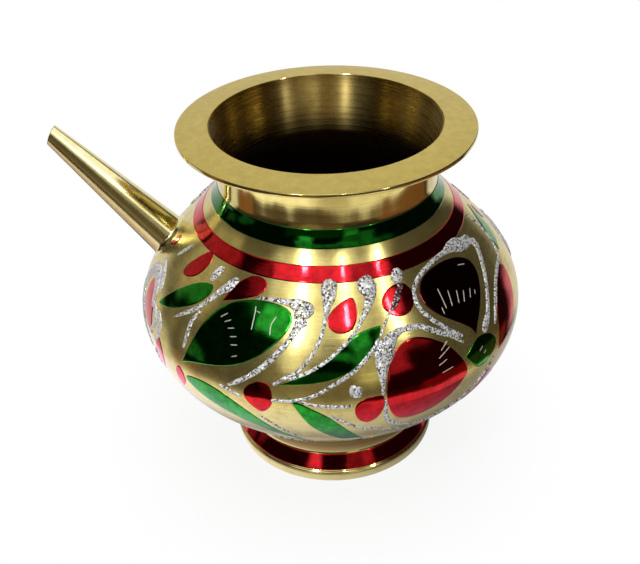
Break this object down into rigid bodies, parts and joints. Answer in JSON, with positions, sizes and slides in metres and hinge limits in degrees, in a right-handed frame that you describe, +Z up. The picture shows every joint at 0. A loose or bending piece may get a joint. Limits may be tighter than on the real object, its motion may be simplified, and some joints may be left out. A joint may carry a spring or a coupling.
{
  "type": "spouted water pot",
  "caption": "Round-bellied brass water pot with a flat brim, a ring foot and a tapered side spout, painted with red and green lacquer bands and flowers.",
  "frame": {"origin": "middle of the floor box of the whole pot, spout included, on the plane the foot stands on", "axes": "+Z up along the pot's axis, the spout points to -X, +X is the side away from the spout"},
  "size_m": [0.1294, 0.108, 0.101],
  "materials": {
    "brass": "polished, with fine turning lines",
    "brazing_metal": "satin",
    "lacquer_red": "clear gloss over brass",
    "lacquer_dark_red": "clear gloss over brass",
    "lacquer_green": "clear gloss over brass"
  },
  "bodies": {
    "root": {"lower_bowl": "brass", "upper_shell": "brass", "neck_and_brim": "brass", "foot_ring": "brass", "spout_tube": "brass", "spout_solder": "brazing_metal", "belly_solder": "brazing_metal", "neck_solder": "brazing_metal", "foot_solder": "brazing_metal", "green_neck_band": "lacquer_green", "red_shoulder_band": "lacquer_red", "red_foot_band": "lacquer_red", "red_shoulder_petal_1": "lacquer_red", "red_shoulder_petal_2": "lacquer_red", "green_shoulder_leaf_1": "lacquer_green", "green_shoulder_leaf_2": "lacquer_green", "red_crown_petal_1": "lacquer_red", "red_crown_petal_2": "lacquer_red", "green_great_petal_1": "lacquer_green", "green_great_petal_2": "lacquer_green", "red_tip_bud_1": "lacquer_red", "red_tip_bud_2": "lacquer_red", "green_long_leaf_1": "lacquer_green", "green_long_leaf_2": "lacquer_green", "red_berry_1": "lacquer_red", "red_berry_2": "lacquer_red", "green_slant_leaf_1": "lacquer_green", "green_slant_leaf_2": "lacquer_green", "red_front_petal_1": "lacquer_red", "red_front_petal_2": "lacquer_red", "red_front_bud_1": "lacquer_red", "red_front_bud_2": "lacquer_red", "dark_great_petal_1": "lacquer_dark_red", "dark_great_petal_2": "lacquer_dark_red", "red_great_petal_1": "lacquer_red", "red_great_petal_2": "lacquer_red", "green_flower_heart_1": "lacquer_green", "green_flower_heart_2": "lacquer_green", "red_low_berry_1": "lacquer_red", "red_low_berry_2": "lacquer_red", "green_low_leaf_1": "lacquer_green", "green_low_leaf_2": "lacquer_green", "red_side_petal_1": "lacquer_red", "red_side_petal_2": "lacquer_red", "red_under_petal_1": "lacquer_red", "red_under_petal_2": "lacquer_red", "red_spout_petal_1": "lacquer_red", "red_spout_petal_2": "lacquer_red", "green_spout_leaf_1": "lacquer_green", "green_spout_leaf_2": "lacquer_green", "red_side_bud_1": "lacquer_red", "red_side_bud_2": "lacquer_red", "red_root_petal_1": "lacquer_red", "red_root_petal_2": "lacquer_red", "green_side_leaf": "lacquer_green"}
  },
  "joints": []
}
